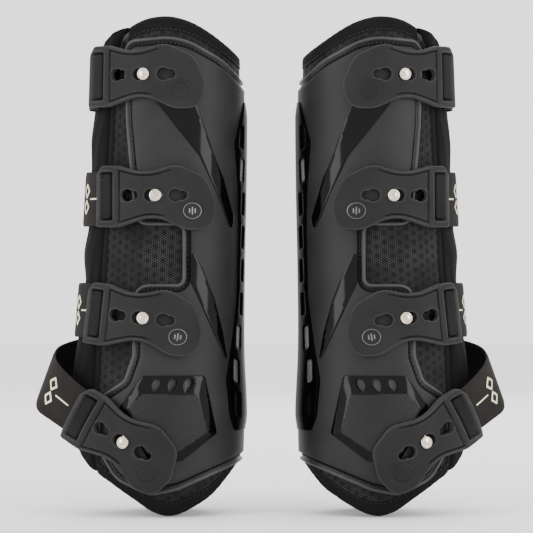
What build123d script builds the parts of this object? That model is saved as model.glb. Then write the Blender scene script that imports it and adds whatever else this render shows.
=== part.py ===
"""A pair of horse tendon boots, closed and standing side by side as worn on two legs.

Each boot wraps one leg: a neoprene and foam sleeve, a moulded outer shell open at the front,
and four elastic straps whose rubber tabs hook over metal studs on the outer side of the leg.
The left boot is modelled about its own leg axis; the right boot is its mirror image.
Row frame: +Z up the leg, -Y the outer side of both boots, +X to the right, millimetres.
"""

import os
from math import acos, cos, degrees, radians, sin

from build123d import *

# ---- driving dimensions, mm ----
LEG_SPACING = 130.0  # between the two leg axes
PAIR_SHIFT_X = 0.09  # puts the pair's bounding box on the origin
PAIR_SHIFT_Y = 1.56
RIGHT_YAW = 5.0  # degrees that the right boot is turned about its own leg axis

# cross-sections of the shell's outer surface: height, centre x, half length front to back
SECTIONS = [
    (-14, -1.5, 40.0),
    (20, -2.8, 49.4),
    (55, -3.6, 52.3),
    (100, -3.3, 50.4),
    (150, -1.2, 48.6),
    (200, 0.9, 47.5),
    (255, 2.5, 46.2),
    (316, 3.4, 43.2),
]
WIDTH_RATIO = 0.87  # side to side over front to back

# layers, as distances out from that surface
LINING = (-9.0, -6.6)
FOAM = (-6.5, -3.6)
FACING = (-3.5, -2.8)
BINDING = (-9.7, -2.8)
FLANGE = (-2.7, -1.1)
SHELL = (-2.7, 0.0)
INLAY = (0.05, 0.45)
PANEL = (0.1, 2.3)
GUARD = (0.1, 2.0)
ELASTIC = (-0.9, 0.8)
ANCHOR = (1.0, 2.2)
TAB_THICKNESS = 3.2
SCREEN = (-2.4, -1.9)

RIM_SETBACK = 1.0  # from the binding's rim to the lining inside it
FOAM_SETBACK = 2.5
SLACK = 0.1  # between pieces that only touch
BINDING_WIDTH = 9.0
FLANGE_WIDTH = 5.0
FLAP_FROM, FLAP_TO = 141.0, 219.0  # degrees round the leg, 0 at the back, 90 outside
PROUD = 80.0  # longer than half the boot's width, for cuts that go right through
TALL = 330.0
PRISM_REACH = 30.0  # half the height of the column that cuts out a tab

# straps, top to bottom: stud x, stud height, tilt down to the back in degrees, tab's underside
STRAPS = [
    (-12.0, 266.0, 0.0, 1.0),
    (-4.5, 193.2, 0.0, 1.0),
    (-12.0, 119.6, 6.0, 1.0),
    (-24.1, 45.2, 31.0, 2.6),
]
ELASTIC_HEIGHTS = [262.5, 191.5, 124.0]
ELASTIC_WIDTH = 33.0
ELASTIC_END = 229.0  # degrees round the leg, on the inner side
ANCHORS = [(-21, 262.5), (-24, 191.5), (-29, 127.5), (-28, 90.5)]  # x, z of their centres
ANCHOR_SIZE = (18.0, 34.0)

TAB_REACH = 38.0  # from the stud to either end of a tab, along the surface
BEND_RADIUS = 47.0  # of the leg under a tab
KEYHOLE_PITCH = 13.7
KEYHOLE_THROW = 4.4  # from the slot where the stud sits to the hole its head passes
KEYHOLE_R = 4.1
SLOT_R = 3.7
BADGE_AT = (20.0, -9.3)
BADGE_R = 5.4
BADGE_SEAT = 0.6  # depth of the badge's seat in the tab
BADGE_RISE = 0.3

STUD_NECK_R = 1.9
STUD_HEAD_R = 3.3
STUD_FLANGE_R = 4.5
STUD_HEAD_HEIGHT = 1.5
WASHER_R = 6.0
WASHER_TOP = -3.3
WASHER_THICKNESS = 1.2
STUD_FLANGE_TOP = 0.5
STUD_FLANGE_THICKNESS = 0.8



# ---- the boot's surface ----
def section_at(z):
    """Centre x and half length of the outer surface at a height, smoothly between the sections."""
    rows = SECTIONS
    i = max(1, min(len(rows) - 3, sum(1 for r in rows if r[0] <= z) - 1))
    before, low, high, after = rows[i - 1], rows[i], rows[i + 1], rows[i + 2]
    span = high[0] - low[0]
    u = (z - low[0]) / span
    found = []
    for k in (1, 2):
        slope_low = (high[k] - before[k]) / (high[0] - before[0]) * span
        slope_high = (after[k] - low[k]) / (after[0] - low[0]) * span
        found.append(
            (2 * u**3 - 3 * u**2 + 1) * low[k]
            + (u**3 - 2 * u**2 + u) * slope_low
            + (3 * u**2 - 2 * u**3) * high[k]
            + (u**3 - u**2) * slope_high
        )
    return found


def surface_point(angle, z, out):
    """A point out from the surface, angle in degrees round the leg from the back by the outer side."""
    centre, half = section_at(z)
    turn = radians(angle)
    return Vector(
        centre + (half + out) * cos(turn), -(half * WIDTH_RATIO + out) * sin(turn), z
    )


def surface_normal(angle):
    """Outward direction at that angle, in the horizontal plane."""
    turn = radians(angle)
    return Vector(WIDTH_RATIO * cos(turn), -sin(turn), 0).normalized()


def angle_of_x(x, z, out):
    """Angle round the leg, on the outer side, of a point at that x."""
    centre, half = section_at(z)
    return degrees(acos((x - centre) / (half + out)))


def stud_angle(strap):
    x, z, _, underside = strap
    return angle_of_x(x, z, underside + TAB_THICKNESS + 1)


def tab_end_angle(strap):
    return stud_angle(strap) + degrees(TAB_REACH / BEND_RADIUS)


def tab_plane(strap, out):
    """Plane square on to the stud, x along the tab towards its tip, turned by the tilt."""
    angle = stud_angle(strap)
    normal = surface_normal(angle)
    level = Vector(0, 0, 1).cross(normal)
    tilt = radians(strap[2])
    along = level * cos(tilt) - Vector(0, 0, 1) * sin(tilt)
    foot = surface_point(angle, strap[1], 0)
    return Plane(foot + normal * out, x_dir=along, z_dir=normal)


def skin(out):
    """Solid inside the surface that stands out from the shell's by that much."""
    with BuildPart() as solid:
        for z, centre, half in SECTIONS:
            with BuildSketch(Plane.XY.offset(z)):
                with Locations((centre, 0)):
                    Ellipse(half + out, half * WIDTH_RATIO + out)
        loft()
    return solid.part


SKINS = {}


def layer(span):
    """Closed sleeve between two offsets of the surface."""
    for out in span:
        if out not in SKINS:
            SKINS[out] = skin(out)
    with BuildPart() as sleeve:
        add(SKINS[span[1]])
        add(SKINS[span[0]], mode=Mode.SUBTRACT)
    return sleeve.part


# ---- outlines seen from the outer side: x front to back, z up ----
def rounded_face(corners):
    """Face of a closed outline from rows of x, z and corner radius."""
    points = [(x, z) for x, z, _ in corners]
    radii = [radius for _, _, radius in corners]
    with BuildLine() as outline:
        FilletPolyline(*points, radius=radii, close=True)
    return make_face(outline.line.edges())


RIM = [
    (-70, 243, 1),
    (-22, 298, 25),
    (8, 303.4, 40),
    (34, 291, 40),
    (70, 262, 1),
    (70, 65, 1),
    (34, 14.5, 20),
    (3, -1.89, 12),
    (-44, 28, 20),
    (-70, 72, 1),
]


def rim_outline(inset=0.0):
    """Face of the sleeve's side view, arched at the top and pointed at the bottom."""
    with BuildSketch(Plane.XZ) as sketch:
        add(rounded_face(RIM))
        if inset:
            offset(amount=-inset, mode=Mode.REPLACE)
    return sketch.sketch


SHELL_BACK = [(10, 284.5, 40), (36, 271, 40), (70, 238, 1), (70, 45.7, 1), (8, 20.5, 15), (-8, 17.5, 15)]
SHELL_OUTER_FRONT = [
    (-27, 26, 15),
    (-38, 44, 15),
    (-37, 68, 8),
    (-20, 79, 12),
    (-13.8, 96, 12),
    (-13.8, 135, 5),
    (17, 135, 9),
    (17, 180, 9),
    (-13.2, 180, 5),
    (-18.8, 236, 30),
    (-21, 282.5, 4),
]
SHELL_INNER_FRONT = [(-27, 26, 12), (-33, 42, 20), (-31, 92, 40), (-25, 185, 40), (-20.5, 282.5, 4)]


def shell_prism(grow=0.0):
    """Solid that holds the shell's side views: windowed on the outer side, plain on the inner."""
    with BuildPart() as prism:
        for front, reach in ((SHELL_OUTER_FRONT, PROUD), (SHELL_INNER_FRONT, -PROUD)):
            with BuildSketch(Plane.XZ):
                add(rounded_face(SHELL_BACK + front))
                if grow:
                    offset(amount=grow, mode=Mode.REPLACE)
            extrude(amount=reach)
    return prism.part


def sector(from_angle, to_angle):
    """Wedge about the leg axis between two angles, to keep one part of a sleeve."""
    reach = 120.0
    steps = max(2, int((to_angle - from_angle) / 45) + 1)
    turns = [from_angle + (to_angle - from_angle) * k / steps for k in range(steps + 1)]
    with BuildPart() as wedge:
        with BuildSketch(Plane.XY.offset(-20)):
            with BuildLine():
                rim = [(reach * cos(radians(a)), -reach * sin(radians(a))) for a in turns]
                Polyline((0, 0), *rim, (0, 0))
            make_face()
        extrude(amount=TALL + 20)
    return wedge.part


# ---- the sleeve: lining, foam, mesh facing, bindings, front flap ----
def make_lining():
    """Neoprene against the leg, from the front edge on the outer side round to the inner side."""
    with BuildPart() as lining:
        add(layer(LINING))
        extrude(rim_outline(RIM_SETBACK), amount=PROUD, both=True, mode=Mode.INTERSECT)
        add(sector(FLAP_FROM, FLAP_TO), mode=Mode.SUBTRACT)
    return lining.part


def make_foam(fixings):
    """Shock-absorbing foam between the lining and the facing."""
    with BuildPart() as foam:
        add(layer(FOAM))
        extrude(rim_outline(FOAM_SETBACK), amount=PROUD, both=True, mode=Mode.INTERSECT)
        add(sector(FLAP_FROM, FLAP_TO), mode=Mode.SUBTRACT)
        add(fixings, mode=Mode.SUBTRACT)
    return foam.part


def make_facing(fixings):
    """Spacer mesh sewn over the foam, seen in the window, at the top and at the bottom."""
    with BuildPart() as facing:
        add(layer(FACING))
        extrude(rim_outline(BINDING_WIDTH + 0.3), amount=PROUD, both=True, mode=Mode.INTERSECT)
        add(sector(FLAP_FROM, FLAP_TO), mode=Mode.SUBTRACT)
        add(fixings, mode=Mode.SUBTRACT)
    return facing.part


def make_binding(upper):
    """Knitted tape folded over the sleeve's rim, at the top or at the bottom."""
    with BuildPart() as channel:
        add(layer((LINING[0] - SLACK, FACING[0])))
        extrude(rim_outline(RIM_SETBACK - SLACK), amount=PROUD, both=True, mode=Mode.INTERSECT)
    with BuildPart() as binding:
        add(layer(BINDING))
        extrude(rim_outline(), amount=PROUD, both=True, mode=Mode.INTERSECT)
        extrude(rim_outline(BINDING_WIDTH), amount=PROUD, both=True, mode=Mode.SUBTRACT)
        add(channel.part, mode=Mode.SUBTRACT)
        half = Align.MIN if upper else Align.MAX
        with Locations((0, 0, 150)):
            Box(300, 300, 400, align=(Align.CENTER, Align.CENTER, half), mode=Mode.INTERSECT)
        add(sector(FLAP_FROM, FLAP_TO), mode=Mode.SUBTRACT)
    return binding.part


def make_flap():
    """Soft neoprene flap that closes the sleeve over the front of the leg."""
    with BuildPart() as flap:
        add(layer((LINING[0], FACING[1])))
        extrude(rim_outline(), amount=PROUD, both=True, mode=Mode.INTERSECT)
        add(sector(FLAP_FROM + 0.5, FLAP_TO - 0.5), mode=Mode.INTERSECT)
    return flap.part


# ---- the shell and what is fixed to it ----
def panel_outline():
    """Face of the raised fetlock panel's side view."""
    with BuildSketch(Plane.XZ) as sketch:
        with BuildLine():
            Polyline(
                (-12, 85),
                (24.8, 85),
                (32, 50),
                (7.5, 35.5),
                (-8, 35.5),
                (-26, 66),
                (-12, 85),
            )
        make_face()
        fillet(sketch.vertices(), radius=1.5)
    return sketch.sketch


VENTS = [(-4.3, 79.4), (5.3, 79.4), (14.9, 79.4)]


def vent_outline(grow=0.0):
    """Faces of the three leaf-shaped vents."""
    with BuildSketch(Plane.XZ) as sketch:
        for x, z in VENTS:
            with Locations((x, z)):
                Ellipse(2.3 + grow, 3.9 + grow, rotation=14)
    return sketch.sketch


def make_shell(studs_room):
    """Moulded shell round the back and both sides, with holes for vents and studs."""
    with BuildPart() as shell:
        add(layer(SHELL))
        add(shell_prism(), mode=Mode.INTERSECT)
        extrude(vent_outline(), amount=PROUD, both=True, mode=Mode.SUBTRACT)
        add(studs_room, mode=Mode.SUBTRACT)
    return shell.part


def make_flange():
    """Sewing flange with a piped edge, all round the shell."""
    with BuildPart() as flange:
        add(layer(FLANGE))
        add(shell_prism(FLANGE_WIDTH), mode=Mode.INTERSECT)
        add(shell_prism(SLACK), mode=Mode.SUBTRACT)
    return flange.part


def make_panels():
    """Raised fetlock panels, outer and inner side, each with three vents."""
    with BuildPart() as panels:
        add(layer(PANEL))
        extrude(panel_outline(), amount=PROUD, both=True, mode=Mode.INTERSECT)
        extrude(vent_outline(), amount=PROUD, both=True, mode=Mode.SUBTRACT)
    return panels.part


def make_screens():
    """Fine mesh discs in the vents."""
    with BuildPart() as screens:
        add(layer(SCREEN))
        extrude(vent_outline(-SLACK), amount=PROUD, both=True, mode=Mode.INTERSECT)
    return screens.part


def make_inlays():
    """Gloss inlays that sweep down the shell, above and beside the window, on both sides."""
    with BuildPart() as inlays:
        add(layer(INLAY))
        with BuildSketch(Plane.XZ) as outline:
            with BuildLine():
                Polyline(
                    (-5, 250), (22, 250), (28, 226), (37, 200), (39, 170), (22, 214), (-5, 250)
                )
            make_face()
            with BuildLine():
                Polyline(
                    (18.5, 160), (24, 148), (30, 131), (34, 110), (34.5, 95), (33.5, 95),
                    (26, 120), (20, 132), (18.5, 160),
                )
            make_face()
        extrude(outline.sketch, amount=PROUD, both=True, mode=Mode.INTERSECT)
    return inlays.part


def make_guard():
    """Gloss strip down the tendons at the back, with a ladder of slots on each side."""
    side = [(7, 249, 2), (25, 226, 6), (16, 185, 30), (16, 130, 30), (25, 98, 30), (31, 80, 12), (25, 52, 3)]
    with BuildPart() as guard:
        add(layer(GUARD))
        with BuildSketch(Plane.YZ) as outline:
            add(rounded_face(side + [(-y, z, radius) for y, z, radius in reversed(side)]))
        extrude(outline.sketch, amount=PROUD, mode=Mode.INTERSECT)
        with BuildSketch(Plane.YZ) as slots:
            for k in range(8):
                z = 218 - 19 * k
                half = 9.0 if k < 1 or k > 4 else 6.5
                with Locations((half, z), (-half, z)):
                    SlotOverall(12, 5, rotation=90)
        extrude(slots.sketch, amount=PROUD, mode=Mode.SUBTRACT)
    return guard.part


# ---- studs ----
def make_stud(strap, grow=0.0):
    """One stud: flange on the shell, neck through it and the tab, domed head."""
    top = strap[3] + TAB_THICKNESS + 0.4
    with BuildPart() as stud:
        with BuildSketch(tab_plane(strap, WASHER_TOP + 0.02)):
            Circle(STUD_NECK_R + grow)
        extrude(amount=top - WASHER_TOP)
        with BuildSketch(tab_plane(strap, STUD_FLANGE_TOP - STUD_FLANGE_THICKNESS)):
            Circle(STUD_FLANGE_R + grow)
        extrude(amount=STUD_FLANGE_THICKNESS + grow)
        with BuildSketch(tab_plane(strap, top)):
            Circle(STUD_HEAD_R)
        extrude(amount=STUD_HEAD_HEIGHT)
        if not grow:
            rim = stud.edges().filter_by(GeomType.CIRCLE).group_by(
                lambda e: (e.center() - stud.part.center()).dot(tab_plane(strap, 0).z_dir)
            )[-1]
            fillet(rim, radius=0.9)
    return stud.part


def make_washers(grow=0.0):
    """Backing washers under the shell, riveted to the studs."""
    with BuildPart() as washers:
        for strap in STRAPS:
            with BuildSketch(tab_plane(strap, WASHER_TOP - WASHER_THICKNESS - grow)):
                Circle(WASHER_R + grow)
            extrude(amount=WASHER_THICKNESS + 2 * grow)
    return washers.part


# ---- straps ----
def bent(s):
    """Distance along the tab, as seen square on at the stud."""
    return BEND_RADIUS * sin(s / BEND_RADIUS)


def tab_outline():
    """Face of a moulded tab, seen square on: frame at the front, waist, round drooping tip."""
    corners = [
        (-35, 18, 1.5),
        (-22, 18, 8),
        (-6, 13.4, 30),
        (12, 19, 13),
        (27.5, 11, 12),
        (33, -6, 11),
        (30, -20.5, 9),
        (17, -21, 14),
        (0, -12.2, 22),
        (-22, -19.3, 10),
        (-35, -19, 1.5),
    ]
    with BuildSketch() as sketch:
        add(rounded_face(corners))
    return sketch.sketch


def keyhole_outline():
    """Faces of the three keyholes: a round hole to the front, a slot to the back."""
    with BuildSketch() as sketch:
        for k in (-1, 0, 1):
            at = bent(k * KEYHOLE_PITCH)
            with Locations((at - KEYHOLE_THROW, 0)):
                Circle(KEYHOLE_R)
            with Locations((at - KEYHOLE_THROW / 2 + 0.45, 0)):
                SlotCenterToCenter(KEYHOLE_THROW + 0.9, 2 * SLOT_R)
        with Locations((bent(-31.5), -0.5)):
            RectangleRounded(5.2, 27.0, 1.0)
    return sketch.sketch


def badge_room(strap, radius):
    """Round column through a tab at its badge."""
    with BuildPart() as column:
        with BuildSketch(tab_plane(strap, -2)):
            with Locations((bent(BADGE_AT[0]), BADGE_AT[1])):
                Circle(radius)
        extrude(amount=20, both=True)
    return column.part


def make_tab(strap):
    """Rubber tab that follows the boot's surface, with a window for the sewn elastic."""
    low = strap[3]
    high = low + TAB_THICKNESS
    with BuildPart() as tab:
        add(layer((low, high)))
        extrude(tab_plane(strap, -PRISM_REACH) * tab_outline(), amount=2 * PRISM_REACH, mode=Mode.INTERSECT)
    with BuildPart() as holes:
        extrude(tab_plane(strap, -PRISM_REACH) * keyhole_outline(), amount=2 * PRISM_REACH)
    with BuildPart() as seat:
        add(layer((high - BADGE_SEAT, high + 1)))
        add(badge_room(strap, BADGE_R + SLACK), mode=Mode.INTERSECT)
    with BuildPart() as finished:
        add(tab.part)
        add(holes.part, mode=Mode.SUBTRACT)
        add(seat.part, mode=Mode.SUBTRACT)
    return finished.part


def make_badge(strap):
    """Round emblem disc let into the tab's tip."""
    high = strap[3] + TAB_THICKNESS
    with BuildPart() as badge:
        add(layer((high - BADGE_SEAT + SLACK, high + BADGE_RISE)))
        add(badge_room(strap, BADGE_R), mode=Mode.INTERSECT)
    return badge.part


def make_elastic(strap, height):
    """Level elastic band from under the tab's frame round the front to the inner side."""
    with BuildPart() as band:
        add(layer(ELASTIC))
        with Locations((0, 0, height)):
            Box(300, 300, ELASTIC_WIDTH, mode=Mode.INTERSECT)
        add(sector(tab_end_angle(strap) - 9, ELASTIC_END), mode=Mode.INTERSECT)
    return band.part


# long edges of the lowest elastic: angle round the leg, height, distance out
LOOP_LOWER = [
    (162.6, 49.4, 4.2),
    (169, 55.5, 11.5),
    (176, 62.5, 19.0),
    (190, 69.5, 18.7),
    (206, 72.6, 10.5),
    (216, 73.6, 4.6),
    (222, 73.9, 1.6),
    (226, 74.0, 0.3),
    (229.5, 74.0, 0.05),
    (233.5, 74.0, 0.0),
]
LOOP_UPPER = [
    (136.5, 77.7, 4.2),
    (150, 84.5, 4.2),
    (172, 93.5, 7.7),
    (191, 100.8, 10.2),
    (207, 104.6, 7.8),
    (216, 106.0, 4.4),
    (222, 106.7, 1.6),
    (226, 106.9, 0.3),
    (229.5, 107.0, 0.05),
    (233.5, 107.0, 0.0),
]
LOOP_HALF_THICKNESS = 0.85


def make_loop():
    """Lowest elastic: a slanting loop that stands clear of the front of the fetlock."""
    edges = [Edge.make_spline([surface_point(*row) for row in rows]) for rows in (LOOP_UPPER, LOOP_LOWER)]
    with BuildPart() as loop:
        thicken(Face.make_surface_from_curves(*edges), amount=LOOP_HALF_THICKNESS, both=True)
    return loop.part


def make_anchors():
    """Sewn patches that hold the elastics' fixed ends to the shell's inner side."""
    with BuildPart() as anchors:
        add(layer(ANCHOR))
        with BuildSketch(Plane.XZ) as outline:
            with Locations(*ANCHORS):
                RectangleRounded(*ANCHOR_SIZE, 2.5)
        extrude(outline.sketch, amount=-PROUD, mode=Mode.INTERSECT)
    return anchors.part


# ---- assembly ----
def place(shape, side):
    """Moves a left boot's piece to its place in the pair, or mirrors it for the right boot."""
    if side == "right":
        shape = mirror(shape, about=Plane.YZ)
        shape = shape.rotate(Axis.Z, RIGHT_YAW)
        return shape.translate((LEG_SPACING / 2 + PAIR_SHIFT_X, PAIR_SHIFT_Y, 0))
    return shape.translate((-LEG_SPACING / 2 + PAIR_SHIFT_X, PAIR_SHIFT_Y, 0))


def main():
    stud_room = [make_stud(strap, grow=SLACK) for strap in STRAPS]
    fixing_room = stud_room + [make_washers(grow=SLACK / 2)]
    pieces = {
        "neoprene_lining": make_lining(),
        "foam_padding": make_foam(fixing_room),
        "mesh_facing": make_facing(fixing_room),
        "top_binding": make_binding(upper=True),
        "bottom_binding": make_binding(upper=False),
        "front_flap": make_flap(),
        "outer_shell": make_shell(stud_room),
        "edge_flange": make_flange(),
        "fetlock_panels": make_panels(),
        "vent_screens": make_screens(),
        "gloss_inlays": make_inlays(),
        "tendon_guard": make_guard(),
        "studs": Compound(children=[make_stud(strap) for strap in STRAPS]),
        "stud_washers": make_washers(),
        "strap_anchors": make_anchors(),
        "elastic_4": make_loop(),
    }
    for k, strap in enumerate(STRAPS, start=1):
        pieces[f"tab_{k}"] = make_tab(strap)
        pieces[f"badge_{k}"] = make_badge(strap)
    for k, height in enumerate(ELASTIC_HEIGHTS, start=1):
        pieces[f"elastic_{k}"] = make_elastic(STRAPS[k - 1], height)
    os.makedirs("parts", exist_ok=True)
    for name, piece in pieces.items():
        for side in ("left", "right"):
            shape = place(piece, side)
            with BuildPart() as placed:
                add(shape)
            placed.part.label = f"{side}_{name}"
            export_step(placed.part, f"parts/{side}_{name}.step")


main()
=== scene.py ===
"""Looks for a pair of horse tendon boots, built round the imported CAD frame.

Every piece of the left boot is laid out on the boot's own surface, in millimetres, and made twice:
once for the left boot, and mirrored for the right one. Positions on the surface are an angle round
the leg (0 at the back, 90 outside, 180 at the front), a height, and a distance out.
"""

import math

import bpy
import numpy as np
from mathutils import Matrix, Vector
from mathutils.geometry import delaunay_2d_cdt


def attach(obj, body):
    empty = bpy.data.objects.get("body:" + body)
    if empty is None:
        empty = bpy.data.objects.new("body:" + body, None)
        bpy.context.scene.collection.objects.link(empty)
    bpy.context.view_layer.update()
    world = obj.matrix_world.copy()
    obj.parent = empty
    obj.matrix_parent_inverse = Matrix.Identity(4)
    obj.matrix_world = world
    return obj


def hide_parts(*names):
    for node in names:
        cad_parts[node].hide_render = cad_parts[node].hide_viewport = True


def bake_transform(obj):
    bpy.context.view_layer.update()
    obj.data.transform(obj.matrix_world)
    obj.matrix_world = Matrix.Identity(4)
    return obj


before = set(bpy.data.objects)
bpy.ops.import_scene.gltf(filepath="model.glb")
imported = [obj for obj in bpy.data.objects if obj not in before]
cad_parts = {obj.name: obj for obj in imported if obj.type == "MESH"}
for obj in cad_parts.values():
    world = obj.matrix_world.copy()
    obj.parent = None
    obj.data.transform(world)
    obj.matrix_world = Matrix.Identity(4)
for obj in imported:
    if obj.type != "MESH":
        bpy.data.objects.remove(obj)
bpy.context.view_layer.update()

# ---- sizes, mm, mostly those of the CAD model ----
MM = 0.001
LEG_SPACING = 130.0
PAIR_SHIFT = (0.09, 1.56)
RIGHT_YAW = math.radians(5.0)
SECTIONS = [  # height, centre x, half length
    (-14, -1.5, 40.0),
    (20, -2.8, 49.4),
    (55, -3.6, 52.3),
    (100, -3.3, 50.4),
    (150, -1.2, 48.6),
    (200, 0.9, 47.5),
    (255, 2.5, 46.2),
    (316, 3.4, 43.2),
]
WIDTH_RATIO = 0.87
UNROLL = 47.0  # mm of surface for each radian round the leg
FLAP_FROM, FLAP_TO = 141.0, 219.0
TAB_THICKNESS = 3.2
STRAPS = [  # stud's x and height, tilt, height of the tab's underside, curl of its front end
    (-12.0, 266.0, 0.0, 1.0, 0.003),
    (-4.5, 193.2, 0.0, 1.0, 0.0),
    (-12.0, 119.6, 6.0, 1.0, 0.001),
    (-24.1, 45.2, 31.0, 2.6, 0.0075),
]
ELASTIC_HEIGHTS = [262.5, 191.5, 124.0]
ELASTIC_WIDTH = 33.0
ELASTIC_THICKNESS = 1.6
ELASTIC_END = 229.0
# Edges of the lowest elastic: angle round the leg, height, distance out
LOOP_LOWER = [
    (146, 43.4, 3.6), (153, 46.3, 5.6), (161, 50, 9), (169, 55.5, 15.5), (177, 62.5, 22.4),
    (190, 69.5, 22.2), (206, 72.6, 12.4), (216, 73.6, 4.6), (222, 73.9, 1.7), (226, 74, 0.5),
    (229.5, 74, 0.15), (233.5, 74, 0.1),
]
LOOP_UPPER = [
    (124, 71.7, 3.6), (130, 74.7, 5.4), (137, 78.5, 7.4), (150, 85.5, 9.4), (172, 94.5, 13),
    (191, 100.8, 13.4), (207, 104.6, 9), (216, 106, 4.4), (222, 106.7, 1.7), (226, 106.9, 0.5),
    (229.5, 107, 0.15), (233.5, 107, 0.1),
]
# Middles of the sewn patches on the inner side: x, height
ANCHORS = [(-21, 262.5), (-24, 191.5), (-29, 127.5), (-28, 90.5)]
KEYHOLE_PITCH = 13.7
BADGE_AT = (20.0, -9.3)  # along and across the tab, from its stud
SHARP = math.radians(38)


# ---- curves ----
def hermite(rows, at):
    """Smooth values through rows of (position, value, ...), at an array of positions."""
    rows = np.array(rows, float)
    x = rows[:, 0]
    slopes = np.gradient(rows[:, 1:], x, axis=0)
    at = np.clip(np.asarray(at, float), x[0], x[-1])
    i = np.clip(np.searchsorted(x, at, side="right") - 1, 0, len(x) - 2)
    span = x[i + 1] - x[i]
    u = ((at - x[i]) / span)[..., None]
    span = span[..., None]
    low, high = rows[i, 1:], rows[i + 1, 1:]
    a, b = slopes[i] * span, slopes[i + 1] * span
    return (2 * u**3 - 3 * u**2 + 1) * low + (u**3 - 2 * u**2 + u) * a + (3 * u**2 - 2 * u**3) * high + (
        u**3 - u**2
    ) * b


def swell(distance, height, width, power=2):
    """Smooth ridge where the distance is 0, or a groove if its height is negative."""
    return height * np.exp(-((distance / width) ** power))


def section(z):
    """Centre x and half length of the surface at heights z."""
    found = hermite(SECTIONS, z)
    return found[..., 0], found[..., 1]


def surface(angle, z, out):
    """Points on the boot's surface in its own frame, from arrays of radians, heights and distances out."""
    angle, z, out = np.broadcast_arrays(
        np.asarray(angle, float), np.asarray(z, float), np.asarray(out, float)
    )
    centre, half = section(z)
    x = centre + (half + out) * np.cos(angle)
    y = -(half * WIDTH_RATIO + out) * np.sin(angle)
    return np.stack([x, y, z], -1)


def side_angle(x, z):
    """Angle round the leg, on the outer side, of side-view points."""
    centre, half = section(z)
    return np.arccos(np.clip((np.asarray(x, float) - centre) / half, -1, 1))


def rounded(corners, step=0.8):
    """Closed outline from rows of x, z and corner radius, with its corners as arcs."""
    found = []
    count = len(corners)
    for i, (x, z, radius) in enumerate(corners):
        here = np.array([x, z], float)
        before = np.array(corners[i - 1][:2], float) - here
        after = np.array(corners[(i + 1) % count][:2], float) - here
        la, lb = np.linalg.norm(before), np.linalg.norm(after)
        before, after = before / la, after / lb
        half_turn = math.acos(max(-1, min(1, float(before @ after)))) / 2
        reach = min(radius / math.tan(half_turn), 0.49 * la, 0.49 * lb)
        radius = reach * math.tan(half_turn)
        start, end = here + before * reach, here + after * reach
        centre = here + (before + after) / np.linalg.norm(before + after) * radius / math.sin(half_turn)
        steps = max(1, int((math.pi - 2 * half_turn) * radius / step))
        a0, a1 = start - centre, end - centre
        turn = math.atan2(a0[0] * a1[1] - a0[1] * a1[0], float(a0 @ a1))
        for k in range(steps + 1):
            c, s = math.cos(turn * k / steps), math.sin(turn * k / steps)
            found.append(centre + np.array([a0[0] * c - a0[1] * s, a0[0] * s + a0[1] * c]))
    return resample(np.array(found), step)


def resample(points, step, closed=True):
    """The same polyline with even spacing."""
    points = np.asarray(points, float)
    if closed:
        points = np.vstack([points, points[:1]])
    gaps = np.linalg.norm(np.diff(points, axis=0), axis=1)
    points = points[np.r_[True, gaps > 1e-6]]
    along = np.r_[0, np.cumsum(np.linalg.norm(np.diff(points, axis=0), axis=1))]
    count = max(3, int(round(along[-1] / step)))
    at = np.linspace(0, along[-1], count + 1)
    if closed:
        at = at[:-1]
    return np.stack([np.interp(at, along, points[:, k]) for k in range(points.shape[1])], -1)


def loop_area(loop):
    x, y = loop[:, 0], loop[:, 1]
    return 0.5 * float(np.sum(x * np.roll(y, -1) - np.roll(x, -1) * y))


def wound(loop, anticlockwise=True):
    return loop if (loop_area(loop) > 0) == anticlockwise else loop[::-1]


def normals_of(loop):
    """Unit vectors to the left of the loop's direction, which is inward on an anticlockwise one."""
    along = np.roll(loop, -1, 0) - np.roll(loop, 1, 0)
    along /= np.linalg.norm(along, axis=1)[:, None] + 1e-12
    return np.stack([-along[:, 1], along[:, 0]], -1)


def inside(points, loop):
    """Which points lie inside a closed loop."""
    found = np.zeros(len(points), bool)
    x, y = points[:, 0], points[:, 1]
    for (x0, y0), (x1, y1) in zip(loop, np.roll(loop, -1, 0)):
        crosses = (y0 > y) != (y1 > y)
        if crosses.any():
            at = x0 + (y - y0) * (x1 - x0) / (y1 - y0 + 1e-15)
            found ^= crosses & (x < at)
    return found


def within(points, loops):
    """Which points lie inside the first loop and outside the others."""
    found = inside(points, loops[0])
    for hole in loops[1:]:
        found &= ~inside(points, hole)
    return found


def distance_to(points, loops):
    """Distance from each point to the nearest of the loops' points."""
    edge = np.vstack(loops)
    found = np.empty(len(points))
    for k in range(0, len(points), 400):
        part = points[k : k + 400]
        found[k : k + 400] = np.sqrt(((part[:, None] - edge[None]) ** 2).sum(-1)).min(1)
    return found


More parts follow.
